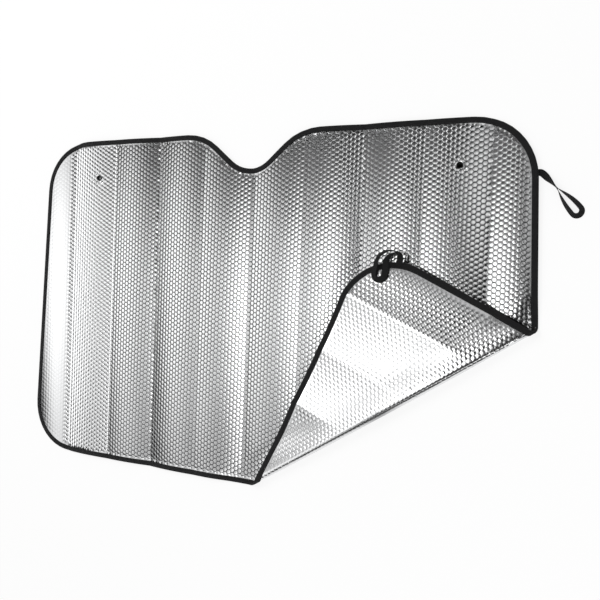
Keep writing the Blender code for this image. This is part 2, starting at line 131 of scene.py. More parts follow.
@dataclass(frozen=True)
class FoldedPattern:
    """Flat pattern of the sheet, and the rule that creases it and turns its corner over."""

    foot_width: float = 1.310
    height: float = 0.804
    side_lean: float = math.radians(2.2)
    head_corner_radius: float = 0.126
    foot_corner_radius: float = 0.122
    arc_step: float = math.radians(9.0)
    notch_depth: float = 0.084
    notch_shift: float = -0.008
    notch_flank_angle: float = math.radians(40.0)
    notch_shoulder_radius: float = 0.130
    notch_floor_radius: float = 0.075
    thickness: float = 0.003
    crease_pitch: float = 0.135
    zigzag_rise: float = 0.006
    pillow_rise: float = 0.004
    droop_length: float = 0.060
    rim_droop: float = 0.006
    fold_start: float = 0.010
    fold_end_height: float = 0.404
    fold_radius_at_rim: float = 0.008
    fold_radius_at_middle: float = 0.0115
    fold_turn: float = math.pi - math.radians(4.0)
    crease_fade: float = 0.060
    tape_gap: float = 0.0006
    tape_thickness: float = 0.0008

    @property
    def tape_inner(self) -> float:
        """Height of the tape's lining off the middle of the sheet."""
        return self.thickness / 2 + self.tape_gap

    @property
    def tape_outer(self) -> float:
        """Height of the tape's outside off the middle of the sheet."""
        return self.tape_inner + self.tape_thickness

    @property
    def fold_from(self) -> Vector:
        """Point on the foot where the corner starts to turn over."""
        return Vector((self.fold_start, 0.0))

    @property
    def fold_span(self) -> Vector:
        """Fold line, from the foot to the right edge."""
        return Vector((self.half_width(self.fold_end_height), self.fold_end_height)) - self.fold_from

    def half_width(self, height: float) -> float:
        """Half the width of the flat sheet at a height above its foot."""
        return self.foot_width / 2 - height * math.tan(self.side_lean)

    def right_rim(self, height: float) -> float:
        """Distance of the right rim from the sheet's middle at a height above its foot.

        Args:
            height: Height above the foot.

        Returns:
            The distance, along the rounded corner too.
        """
        radius = self.foot_corner_radius
        drop = min(max(radius - height, 0.0), radius)
        return self.half_width(height) - radius + math.sqrt(radius**2 - drop**2)

    def ripple(self, u: float) -> float:
        """Height that the packing creases leave in the sheet at a place across it.

        Args:
            u: Place across the pattern.

        Returns:
            The height above the lowest crease.
        """
        cell = math.floor(u / self.crease_pitch)
        share = u / self.crease_pitch - cell
        climb = share if cell % 2 == 0 else 1.0 - share
        return climb * self.zigzag_rise + 4.0 * share * (1.0 - share) * self.pillow_rise

    def droop(self, u: float) -> float:
        """Drop of the sheet's free right end at a place across it."""
        share = max(u - self.foot_width / 2 + self.droop_length, 0.0) / self.droop_length
        return share * share * self.rim_droop

    def outline(self) -> list[Vector]:
        """Outline of the flat sheet, counter-clockwise from its left foot.

        Returns:
            Points of the outline, each corner rounded by an arc.
        """
        flank = self.notch_flank_angle
        drop = self.notch_depth + self.notch_floor_radius * (1.0 / math.cos(flank) - 1.0)
        shoulder = drop / math.tan(flank)
        head, foot = self.half_width(self.height), self.half_width(0.0)
        corners = (
            (Vector((-foot, 0.0)), self.foot_corner_radius),
            (Vector((foot, 0.0)), self.foot_corner_radius),
            (Vector((head, self.height)), self.head_corner_radius),
            (Vector((self.notch_shift + shoulder, self.height)), self.notch_shoulder_radius),
            (Vector((self.notch_shift, self.height - drop)), self.notch_floor_radius),
            (Vector((self.notch_shift - shoulder, self.height)), self.notch_shoulder_radius),
            (Vector((-head, self.height)), self.head_corner_radius),
        )
        points = []
        for index, (corner, radius) in enumerate(corners):
            before = corners[index - 1][0]
            after = corners[(index + 1) % len(corners)][0]
            points.extend(self._arc(before, corner, after, radius))
        return points

    def _arc(self, before: Vector, corner: Vector, after: Vector, radius: float) -> list[Vector]:
        """Points of the arc that rounds a corner of the outline.

        Args:
            before: Corner before it.
            corner: The corner.
            after: Corner after it.
            radius: Radius of the arc.

        Returns:
            The points, from where the arc starts to where it ends.
        """
        arriving = (corner - before).normalized()
        leaving = (after - corner).normalized()
        turn = arriving.angle_signed(leaving)
        side = -math.copysign(1.0, turn)
        start = corner - arriving * (radius * math.tan(abs(turn) / 2))
        centre = start + Vector((-arriving.y, arriving.x)) * radius * side
        steps = max(2, round(abs(turn) / self.arc_step))
        swings = [Matrix.Rotation(side * abs(turn) * step / steps, 2) for step in range(steps + 1)]
        return [centre + swing @ (start - centre) for swing in swings]


class FoldedSheet:
    """The pattern carried into the row's frame."""

    def __init__(self, pattern: FoldedPattern) -> None:
        """Work out the fold's own axes and where the solids stand.

        Args:
            pattern: Flat pattern and its folding sizes.
        """
        self.pattern = pattern
        self.outline = pattern.outline()
        self.start = pattern.fold_from
        self.along = pattern.fold_span.normalized()
        self.across = Vector((self.along.y, -self.along.x))
        self.length = pattern.fold_span.length
        self.bend_length = pattern.fold_radius_at_middle * pattern.fold_turn
        rim = pattern.tape_gap + pattern.tape_thickness
        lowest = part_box("edge_binding")[0]
        left = min(point.x for point in self.outline) - rim
        foot = min(point.y for point in self.outline) - rim
        self.shift = Vector((lowest.x - left, lowest.y - foot, pattern.tape_outer))

    def across_fold(self, u: float, v: float) -> float:
        """Distance of a place on the pattern past the fold line."""
        return (Vector((u, v)) - self.start).dot(self.across)

    def folded(self, u: float, v: float, lift: float) -> Vector:
        """Carry a place on the flat pattern into space.

        Args:
            u: Place across the pattern.
            v: Place up the pattern.
            lift: Height off the middle of the sheet, towards its front.

        Returns:
            The place in the row's frame.
        """
        pattern = self.pattern
        place = Vector((u, v)) - self.start
        along, across = place.dot(self.along), place.dot(self.across)
        share = min(max(along / self.length, 0.0), 1.0)
        fuller = pattern.fold_radius_at_middle - pattern.fold_radius_at_rim
        radius = pattern.fold_radius_at_rim + fuller * math.sin(math.pi * share)
        bend = radius * pattern.fold_turn
        fade = smooth_step(max(-across, across - self.bend_length) / pattern.crease_fade)
        way_down = -1.0 if across <= 0.0 else 1.0
        height = lift + (pattern.ripple(u) + way_down * pattern.droop(u)) * fade
        if across <= 0.0:
            reach, rise = across, height
        else:
            turn = min(across / radius, pattern.fold_turn)
            beyond = max(across - bend, 0.0)
            reach = (radius - height) * math.sin(turn) + beyond * math.cos(turn)
            rise = radius - (radius - height) * math.cos(turn) + beyond * math.sin(turn)
        flat = self.start + self.along * along + self.across * reach
        return Vector((flat.x, flat.y, rise)) + self.shift

    def seat(self, u: float, v: float) -> Matrix:
        """Frame on the sheet's middle surface, its Z axis out of the front.

        Args:
            u: Place across the pattern.
            v: Place up the pattern.

        Returns:
            The frame, its X axis across the sheet.
        """
        step = 0.006
        across = self.folded(u + step, v, 0.0) - self.folded(u - step, v, 0.0)
        ahead = self.folded(u, v + step, 0.0) - self.folded(u, v - step, 0.0)
        normal = across.cross(ahead).normalized()
        side = ahead.cross(normal).normalized()
        seat = Matrix((side, normal.cross(side), normal)).transposed().to_4x4()
        seat.translation = self.folded(u, v, 0.0)
        return seat

    def fold_mesh(self, bm: BMesh, face: Face) -> None:
        """Carry a whole flat mesh into space, its heights as lifts off the sheet.

        Args:
            bm: Mesh drawn on the pattern with its bubbles upwards.
            face: Face of the sheet that the mesh covers.
        """
        for vert in bm.verts:
            vert.co = self.folded(vert.co.x, vert.co.y, vert.co.z * face.value)
        if face is Face.BACK:
            bmesh.ops.reverse_faces(bm, faces=bm.faces[:])

    def stations(self, spacing: float) -> list[tuple[Vector, Vector, float]]:
        """Evenly spaced places round the rim.

        Args:
            spacing: Distance aimed at between two places.

        Returns:
            For each place its point, the direction out of the sheet and its distance along the rim.
        """
        points = self.outline
        lengths = [(points[(i + 1) % len(points)] - point).length for i, point in enumerate(points)]
        normals = []
        for index, point in enumerate(points):
            arriving = (point - points[index - 1]).normalized()
            leaving = (points[(index + 1) % len(points)] - point).normalized()
            normals.append(Vector((arriving.y + leaving.y, -arriving.x - leaving.x)).normalized())
        total = sum(lengths)
        count = round(total / spacing)
        places = []
        index, passed = 0, 0.0
        for step in range(count + 1):
            target = total * step / count
            while index < len(points) - 1 and passed + lengths[index] < target:
                passed += lengths[index]
                index += 1
            share = min((target - passed) / lengths[index], 1.0)
            after = (index + 1) % len(points)
            spot = points[index].lerp(points[after], share)
            places.append((spot, normals[index].lerp(normals[after], share).normalized(), target))
        return places


class NodeBoard:
    """The node tree of a material or world, with short calls for adding and linking nodes."""

    def __init__(self, owner: Material | World) -> None:
        """Switch the owner's nodes on.

        Args:
            owner: New material or world. A material has its Principled shader.
        """
        owner.use_nodes = True
        self.owner = owner
        self.tree = owner.node_tree
        self.shader = self.tree.nodes.get("Principled BSDF")

    def add(self, kind: str, **settings: object) -> Node:
        """Add a node and set its properties.

        Args:
            kind: The node's type.
            settings: Value for each property.

        Returns:
            The new node.
        """
        node = self.tree.nodes.new(kind)
        for name, value in settings.items():
            setattr(node, name, value)
        return node

    def link(self, output: NodeSocket, target: NodeSocket) -> None:
        """Join an output to an input."""
        self.tree.links.new(output, target)

    def feed(self, name: str, output: NodeSocket) -> None:
        """Join an output to a named input of the Principled shader."""
        self.link(output, self.shader.inputs[name])

    def place(self) -> NodeSocket:
        """Place on the object, in its own coordinates."""
        return self.add("ShaderNodeTexCoord").outputs["Object"]

    def pattern_place(self) -> NodeSocket:
        """Place on the flat pattern, from the piece's own UV."""
        return self.add("ShaderNodeUVMap", uv_map="pattern").outputs["UV"]

    def attribute(self, name: str) -> NodeSocket:
        """Value of one of the mesh's own attributes."""
        return self.add("ShaderNodeAttribute", attribute_name=name).outputs["Fac"]

    def parts(self, vector: NodeSocket) -> NodeOutputs:
        """Split a vector into its X, Y and Z.

        Args:
            vector: Socket that gives the vector.

        Returns:
            The outputs, by the names of the axes.
        """
        node = self.add("ShaderNodeSeparateXYZ")
        self.link(vector, node.inputs["Vector"])
        return node.outputs

    def math(self, operation: str, *values: object) -> NodeSocket:
        """Add a maths node.

        Args:
            operation: The node's operation.
            values: Sockets or plain numbers, in the node's order.

        Returns:
            The result.
        """
        node = self.add("ShaderNodeMath", operation=operation)
        for socket, value in zip(node.inputs, values):
            if isinstance(value, NodeSocket):
                self.link(value, socket)
            else:
                socket.default_value = value
        return node.outputs["Value"]

    def noise(self, place: NodeSocket, scale: float, detail: float) -> NodeSocket:
        """Add a noise pattern.

        Args:
            place: Socket that gives the place.
            scale: Scale of the pattern.
            detail: Levels of finer pattern in it.

        Returns:
            The pattern, from 0 to 1.
        """
        node = self.add("ShaderNodeTexNoise")
        node.inputs["Scale"].default_value = scale
        node.inputs["Detail"].default_value = detail
        self.link(place, node.inputs["Vector"])
        return node.outputs["Fac"]

    def colour(self, factor: NodeSocket, first: Triple, second: Triple) -> None:
        """Give the shader a mix of two colours.

        Args:
            factor: Share of the second colour.
            first: First colour.
            second: Second colour.
        """
        node = self.add("ShaderNodeMix", data_type="RGBA")
        self.link(factor, node.inputs[0])
        node.inputs[6].default_value = (*first, 1.0)
        node.inputs[7].default_value = (*second, 1.0)
        self.feed("Base Color", node.outputs[2])

    def bump(self, height: NodeSocket, strength: float, distance: float) -> None:
        """Give the shader a bump from a height.

        Args:
            height: Socket that gives the height.
            strength: Strength of the bump.
            distance: Depth in metres that a height of 1 stands for.
        """
        node = self.add("ShaderNodeBump")
        node.inputs["Strength"].default_value = strength
        node.inputs["Distance"].default_value = distance
        self.link(height, node.inputs["Height"])
        self.feed("Normal", node.outputs["Normal"])

    def set(self, **values: float) -> None:
        """Set constant inputs of the shader, named with underscores for spaces."""
        for name, value in values.items():
            self.shader.inputs[name.replace("_", " ")].default_value = value

    def seen(self) -> NodeSocket:
        """Tell what the camera sees, also in shiny and through clear surfaces, from other rays.

        Returns:
            One for what it sees and zero for the rest.
        """
        rays = self.add("ShaderNodeLightPath").outputs
        shown = self.math("MAXIMUM", rays["Is Camera Ray"], rays["Is Glossy Ray"])
        return self.math("MAXIMUM", shown, rays["Is Transmission Ray"])

    def show(self, shader: NodeSocket) -> None:
        """Send a shader to the tree's output."""
        kind = "Material" if self.shader else "World"
        self.link(shader, self.tree.nodes[f"{kind} Output"].inputs["Surface"])

    def show_mix(self, share: NodeSocket, first: NodeSocket, second: NodeSocket) -> None:
        """Send a mix of two shaders to the tree's output.

        Args:
            share: Share of the second shader.
            first: First shader.
            second: Second shader.
        """
        mixer = self.add("ShaderNodeMixShader")
        for socket, source in zip(mixer.inputs, (share, first, second)):
            self.link(source, socket)
        self.show(mixer.outputs["Shader"])


@dataclass(frozen=True)
class FoilFinish:
    """Metallised film: mirror-bright crowns, rougher grooves with painted shade in their colour, and fine
    crinkles.
    """

    name: str
    crown: Triple = (0.86, 0.865, 0.87)
    # Colour of the painted shade in the grooves, the bend and the right end, at full share.
    painted_shade: Triple = (0.14, 0.142, 0.145)
    # Noise patches that make the painted shade darker or lighter at random.
    shade_patch_scale: float = 9.0
    shade_patch_spread: float = 0.5
    least_patch_shade: float = 0.75
    fine_scale: float = 520.0
    coarse_scale: float = 160.0
    fine_share: float = 0.3
    smoothest: float = 0.07
    roughness_spread: float = 0.10
    groove_roughness: float = 0.15
    crinkle: float = 0.14
    crinkle_height: float = 0.0006

    def make(self) -> Material:
        """Build the material.

        Returns:
            The new material.
        """
        board = NodeBoard(bpy.data.materials.new(self.name))
        place = board.pattern_place()
        # depth is each point's share of painted shade; the colour mixes from crown towards the painted
        # shade colour by it.
        depth = board.attribute("painted_shade")
        patchy_shade = board.noise(place, self.shade_patch_scale, 3.0)
        patchy_shade = board.math("MULTIPLY_ADD", patchy_shade, self.shade_patch_spread, self.least_patch_shade)
        board.colour(board.math("MULTIPLY", depth, patchy_shade), self.crown, self.painted_shade)
        fine = board.noise(place, self.fine_scale, 3.0)
        rough = board.math("MULTIPLY_ADD", fine, self.roughness_spread, self.smoothest)
        board.feed("Roughness", board.math("MULTIPLY_ADD", depth, self.groove_roughness, rough))
        coarse = board.noise(place, self.coarse_scale, 4.0)
        height = board.math("MULTIPLY_ADD", fine, self.fine_share, coarse)
        board.bump(height, self.crinkle, self.crinkle_height)
        board.set(Metallic=1.0)
        return board.owner


@dataclass(frozen=True)
class ClothFinish:
    """Woven or knitted cloth: two thread directions on the piece's own UV, with patches of lighter wear.
    """

    name: str
    colour: Triple = (0.006, 0.006, 0.0065)
    worn: Triple = (0.018, 0.018, 0.019)
    warp: float = 900.0
    weft: float = 900.0
    weave_depth: float = 0.00018
    weave_strength: float = 0.8
    wear_scale: float = 60.0
    roughness: float = 0.78
    sheen: float = 0.03
    sheen_roughness: float = 0.5
    gloss: float = 0.22

    def make(self) -> Material:
        """Build the material.

        Returns:
            The new material.
        """
        board = NodeBoard(bpy.data.materials.new(self.name))
        place = board.pattern_place()
        parts = board.parts(place)
        warp = board.math("SINE", board.math("MULTIPLY", parts["X"], math.tau * self.warp))
        weft = board.math("SINE", board.math("MULTIPLY", parts["Y"], math.tau * self.weft))
        weave = board.math("MULTIPLY", warp, weft)
        threads = board.math("MULTIPLY_ADD", weave, 0.5, 0.5)
        wear = board.noise(place, self.wear_scale, 3.0)
        board.colour(board.math("MULTIPLY", threads, wear), self.colour, self.worn)
        board.bump(weave, self.weave_strength, self.weave_depth)
        board.set(
            Roughness=self.roughness,
            Specular_IOR_Level=self.gloss,
            Sheen_Weight=self.sheen,
            Sheen_Roughness=self.sheen_roughness,
        )
        return board.owner


@dataclass(frozen=True)
class PlasticFinish:
    """Black moulded plastic with faint scuffs."""

    name: str
    colour: Triple = (0.004, 0.004, 0.004)
    scuffed: Triple = (0.012, 0.012, 0.012)
    scuff_scale: float = 700.0
    grain_scale: float = 2500.0
    grain_strength: float = 0.2
    grain_height: float = 0.0001
    smoothest: float = 0.32
    roughness_spread: float = 0.2
    gloss: float = 0.05

    def make(self) -> Material:
        """Build the material.

        Returns:
            The new material.
        """
        board = NodeBoard(bpy.data.materials.new(self.name))
        place = board.place()
        board.colour(board.noise(place, self.scuff_scale, 4.0), self.colour, self.scuffed)
        grain = board.noise(place, self.grain_scale, 2.0)
        rough = board.math("MULTIPLY_ADD", grain, self.roughness_spread, self.smoothest)
        board.feed("Roughness", rough)
        board.bump(grain, self.grain_strength, self.grain_height)
        board.set(Specular_IOR_Level=self.gloss)
        return board.owner


@dataclass(frozen=True)
class VinylFinish:
    """Clear soft vinyl with a slight cloudiness, most seen at the thin lip.

    The stem is painted as dark as the black bore that it stands in: a painted reflection of the bore.
    """

    name: str
    smoothest: float = 0.015
    cloud_scale: float = 220.0
    cloudiness: float = 0.03
    cover: float = 0.008
    lip_cover: float = 0.4
    lip_power: float = 12.0
    stem_reach: float = 0.33
    painted_dark_stem_cover: float = 0.9
    tint: float = 0.95
    clearness: float = 0.8
    refraction: float = 1.45
    gloss: float = 0.15

    def make(self) -> Material:
        """Build the material.

        Returns:
            The new material.
        """
        board = NodeBoard(bpy.data.materials.new(self.name))
        cloud = board.noise(board.place(), self.cloud_scale, 3.0)
        board.feed("Roughness", board.math("MULTIPLY_ADD", cloud, self.cloudiness, self.smoothest))
        reach = board.attribute("reach")
        lip = board.math("POWER", reach, self.lip_power)
        cover = board.math("MULTIPLY_ADD", lip, self.lip_cover - self.cover, self.cover)
        # Painted dark stem: inside stem_reach the vinyl turns nearly opaque and black.
        stem = board.math("LESS_THAN", reach, self.stem_reach)
        board.feed("Alpha", board.math("MAXIMUM", cover, board.math("MULTIPLY", stem, self.painted_dark_stem_cover)))
        clear = board.math("SUBTRACT", 1.0, stem)
        board.feed("Base Color", board.math("MULTIPLY", clear, self.tint))
        board.feed("Transmission Weight", board.math("MULTIPLY", clear, self.clearness))
        board.set(IOR=self.refraction, Specular_IOR_Level=self.gloss)
        return board.owner


@dataclass
class BubbleFoil:
    """Both metallised films of the sheet, with a bubble in every whole cell of their lattice.

    Each worn end is a place across the pattern and the share of the bubbles' height left beyond it.
    """

    sheet: FoldedSheet
    eyelet_places: tuple[Pair, ...]
    pitch: float = 0.0105
    wall_inset: float = 0.0013
    wall_rise: float = 0.0010
    crown_rise: float = 0.0004
    whole_share: float = 0.98
    rim_band: float = 0.0122
    rim_ease: float = 0.006
    eyelet_band: float = 0.0070
    eyelet_ease: float = 0.0015
    hole_radius: float = 0.0058
    hole_sides: int = 16
    rim_spacing: float = 0.002
    bend_relief: float = 0.3
    # Painted dark reflection across the bend, and how sharply it fades to the bend's edges.
    bend_dark_reflection: float = 0.3
    bend_edge: float = 5.0
    crease_angle: float = 25.0
    worn_ends: tuple[Pair, ...] = ((-0.56, 0.12), (-0.405, 0.6))
    # Painted dark reflection next to the tape of the right end, and its reach.
    end_dark_reflection: float = 0.6
    end_reach: float = 0.050
    # Extra painted darkening in one stretch of the bend.
    crumple_darkening: float = 0.65
    crumple_at: float = 0.38
    crumple_reach: float = 0.075
    back_relief: float = 0.28
    front_finish: FoilFinish = FoilFinish("front_metal")
    # Back film: brighter crowns and weaker painted shade in its grooves.
    back_finish: FoilFinish = FoilFinish(
        "back_metal", crown=(0.95, 0.955, 0.96), painted_shade=(0.40, 0.403, 0.41)
    )

    def build(self) -> dict[Face, Object]:
        """Model the films.

        Returns:
            The finished film of each face.
        """
        flat = bmesh.new()
        self._lay_cells(flat)
        self._cut_to_outline(flat)
        self._raise_bubbles(flat)
        for place in self.eyelet_places:
            self._punch(flat, Vector(place))
        self._press_flat(flat)
        self._write_pattern_coordinates(flat)
        bmesh.ops.triangulate(flat, faces=flat.faces[:])
        middle = self.sheet.pattern.thickness / 2
        films = {}
        for face, finish in ((Face.FRONT, self.front_finish), (Face.BACK, self.back_finish)):
            bm = flat.copy()
            if face is Face.BACK:
                for vert in bm.verts:
                    vert.co.z = middle + (vert.co.z - middle) * self.back_relief
            self.sheet.fold_mesh(bm, face)
            films[face] = add_piece(f"{face.name.lower()}_film", bm, self.crease_angle)
            films[face].data.materials.append(finish.make())
        flat.free()
        return films

    def _lay_cells(self, bm: BMesh) -> None:
        """Fill the pattern's box with hexagons, one for each bubble.

        Args:
            bm: Mesh to fill.
        """
        step = self.pitch * math.sqrt(3.0) / 2
        columns = math.ceil(self.sheet.pattern.foot_width / 2 / step) + 1
        rows = math.ceil(self.sheet.pattern.height / self.pitch) + 1
        bmesh.ops.create_circle(bm, cap_ends=True, radius=self.pitch / math.sqrt(3.0), segments=6)
        bmesh.ops.rotate(bm, verts=bm.verts[:], matrix=Matrix.Rotation(math.pi / 6, 3, "Z"))
        bmesh.ops.translate(bm, verts=bm.verts[:], vec=(-columns * step, 0.0, 0.0))
        cell = bm.verts[:] + bm.edges[:] + bm.faces[:]
        repeat(bm, cell, [Vector((0.0, row * self.pitch, 0.0)) for row in range(1, rows)])
        column = bm.verts[:] + bm.edges[:] + bm.faces[:]
        half = self.pitch / 2
        repeat(bm, column, [Vector((i * step, i % 2 * half, 0.0)) for i in range(1, 2 * columns + 1)])
        bmesh.ops.remove_doubles(bm, verts=bm.verts[:], dist=self.pitch / 50)

    def _cut_to_outline(self, bm: BMesh) -> None:
        """Cut the cells along the outline and drop what is outside.

        Args:
            bm: Mesh of flat cells.
        """
        outline = self.sheet.outline
        rim = self._rim_tree()
        cells = {face for face in bm.faces if rim.find(face.calc_center_median())[2] < self.pitch}
        for index, start in enumerate(outline):
            end = outline[(index + 1) % len(outline)]
            ahead = (end - start).normalized()
            outward = Vector((ahead.y, -ahead.x))
            near = []
            for face in cells:
                place = face.calc_center_median().to_2d() - start
                along = place.dot(ahead)
                if -self.pitch < along < (end - start).length + self.pitch:
                    if abs(place.dot(outward)) < self.pitch:
                        near.append(face)
            for edge in self._cut(bm, near, start, outward):
                cells.update(edge.link_faces)
        outside = [face for face in bm.faces if not self._holds(face.calc_center_median().to_2d())]
        bmesh.ops.delete(bm, geom=outside, context="FACES")

    def _rim_tree(self) -> KDTree:
        """Search tree of closely spaced places on the outline.

        Returns:
            The tree, ready to search.
        """
        places = self.sheet.stations(self.rim_spacing)
        tree = KDTree(len(places))
        for index, (spot, _, _) in enumerate(places):
            tree.insert(spot.to_3d(), index)
        tree.balance()
        return tree

    def _holds(self, point: Vector) -> bool:
        """Whether a place lies inside the outline.

        Args:
            point: Place on the pattern.

        Returns:
            True if it lies inside.
        """
        inside = False
        outline = self.sheet.outline
        for index, end in enumerate(outline):
            start = outline[index - 1]
            if (start.y > point.y) != (end.y > point.y):
                share = (point.y - start.y) / (end.y - start.y)
                if point.x < start.x + share * (end.x - start.x):
                    inside = not inside
        return inside

    def _cut(self, bm: BMesh, faces: Sequence, point: Vector, normal: Vector) -> list[BMEdge]:
        """Cut some faces of the flat mesh along a line.

        Args:
            bm: The flat mesh.
            faces: Faces to cut.
            point: A point on the line.
            normal: Direction across the line.

        Returns:
            The new edges on the line.
        """
        edges = {edge for face in faces for edge in face.edges}
        verts = {vert for face in faces for vert in face.verts}
        made = bmesh.ops.bisect_plane(
            bm,
            geom=list(verts) + list(edges) + list(faces),
            dist=MERGE_DISTANCE,
            plane_co=(point.x, point.y, 0.0),
            plane_no=(normal.x, normal.y, 0.0),
        )
        return [part for part in made["geom_cut"] if isinstance(part, BMEdge)]

    def _punch(self, bm: BMesh, centre: Vector) -> None:
        """Cut the hole for an eyelet's barrel.

        Args:
            bm: The flat mesh.
            centre: Place of the eyelet.
        """
        for side in range(self.hole_sides):
            angle = math.tau * side / self.hole_sides
            outward = Vector((math.cos(angle), math.sin(angle)))
            near = self._around(bm, centre, self.hole_radius + self.pitch)
            self._cut(bm, near, centre + outward * self.hole_radius, outward)
        inner = self.hole_radius * math.cos(math.pi / self.hole_sides)
        bmesh.ops.delete(bm, geom=self._around(bm, centre, inner), context="FACES")

    def _around(self, bm: BMesh, centre: Vector, reach: float) -> list[BMFace]:
        """Faces whose middle lies within reach of a place."""
        return [f for f in bm.faces if (f.calc_center_median().to_2d() - centre).length < reach]

    def _raise_bubbles(self, bm: BMesh) -> None:
        """Raise a crowned bubble in every cell that is still whole.

        Args:
            bm: Mesh of flat cells.
        """
        area = self.whole_share * self.pitch**2 * math.sqrt(3.0) / 2
        whole = [face for face in bm.faces if len(face.verts) == 6 and face.calc_area() > area]
        bmesh.ops.inset_individual(
            bm, faces=whole, thickness=self.wall_inset, depth=self.wall_rise, use_even_offset=True
        )
        bmesh.ops.poke(bm, faces=whole, offset=self.crown_rise, center_mode="MEAN")

    def _press_flat(self, bm: BMesh) -> None:
        """Set the bubbles about the solid's face, and press them flat under tape and eyelets.

        Args:
            bm: Mesh of raised bubbles. Its attribute of painted shade says how much painted shade each
                point gets: deepest in the grooves, with painted dark reflection in the bend and at the
                right end.
        """
        painted_shade = bm.verts.layers.float.new("painted_shade")
        full = self.wall_rise + self.crown_rise
        rim = self._rim_tree()
        for vert in bm.verts:
            flat = Vector((vert.co.x, vert.co.y, 0.0))
            relief = smooth_step((rim.find(flat)[2] - self.rim_band) / self.rim_ease)
            for place in self.eyelet_places:
                gap = (flat.to_2d() - Vector(place)).length - self.eyelet_band
                relief *= smooth_step(gap / self.eyelet_ease)
            for end, left in self.worn_ends:
                relief *= left + (1.0 - left) * smooth_step((flat.x - end) / self.rim_ease)
            past = self.sheet.across_fold(flat.x, flat.y)
            if 0.0 < past < self.sheet.bend_length:
                relief *= self.bend_relief
            # Painted shade share: deeper down the bubble walls, or the painted dark reflection of the bend
            # and right end where that is more.
            vert[painted_shade] = max((1.0 - vert.co.z / self.wall_rise) * relief, self._painted_dark_reflection(flat, past))
            vert.co.z = self.sheet.pattern.thickness / 2 + (vert.co.z - full / 2) * relief

    def _painted_dark_reflection(self, place: Vector, past: float) -> float:
        """How much painted dark reflection the film gets.

        Args:
            place: Place on the pattern.
            past: Its distance past the fold line.

        Returns:
            A share of painted dark reflection, across the bend, highest round crumple_at in the bend and
            next to the tape of the right end.
        """
        along = (place.to_2d() - self.sheet.start).dot(self.sheet.along)
        crumple = smooth_step(1.0 - abs(along - self.crumple_at) / self.crumple_reach)
        off_middle = abs(past / self.sheet.bend_length - 0.5)
        bend = smooth_step((0.6 - off_middle) * self.bend_edge)
        bend *= self.bend_dark_reflection + self.crumple_darkening * crumple
        rim = self.sheet.pattern.right_rim(place.y)
        return max(bend, smooth_step(1.0 - (rim - place.x) / self.end_reach) * self.end_dark_reflection)

    def _write_pattern_coordinates(self, bm: BMesh) -> None:
        """Keep each corner's place on the flat pattern as its UV.

        Args:
            bm: The flat mesh.
        """
        layer = bm.loops.layers.uv.new("pattern")
        for face in bm.faces:
            for loop in face.loops:
                loop[layer].uv = loop.vert.co.to_2d()


@dataclass
class SweptStrip:
    """A closed section swept along a line, made by bending one grid."""

    name: str
    section: Sequence[Pair]
    closed: bool
    sharp_angle: float = 50.0

    def build(self, lengths: Sequence[float], place: Callable[[int, Pair], Vector]) -> Object:
        """Bend a grid round the section and along the line.

        Args:
            lengths: Distance of each station along the line.
            place: Gives the place of a section point at a station.

        Returns:
            The finished piece, with distances along and round it as its UV.
        """
        bm = bmesh.new()
        turns = len(self.section)
        bmesh.ops.create_grid(bm, x_segments=len(lengths) - 1, y_segments=turns, size=0.5)
        layer = bm.loops.layers.uv.new("pattern")
        round_it = [0.0]
        for index in range(turns):
            ahead = Vector(self.section[(index + 1) % turns]) - Vector(self.section[index])
            round_it.append(round_it[-1] + ahead.length)
        spots = {}
        for vert in bm.verts:
            station = round((vert.co.x + 0.5) * (len(lengths) - 1))
            spots[vert] = (station, round((vert.co.y + 0.5) * turns))
        for face in bm.faces:
            for loop in face.loops:
                station, turn = spots[loop.vert]
                loop[layer].uv = (lengths[station], round_it[turn])
        for vert, (station, turn) in spots.items():
            vert.co = place(station, self.section[turn % turns])
        bmesh.ops.remove_doubles(bm, verts=bm.verts[:], dist=MERGE_DISTANCE / 5)
        if not self.closed:
            bmesh.ops.holes_fill(bm, edges=[edge for edge in bm.edges if edge.is_boundary])
        bmesh.ops.recalc_face_normals(bm, faces=bm.faces[:])
        return add_piece(self.name, bm, self.sharp_angle)


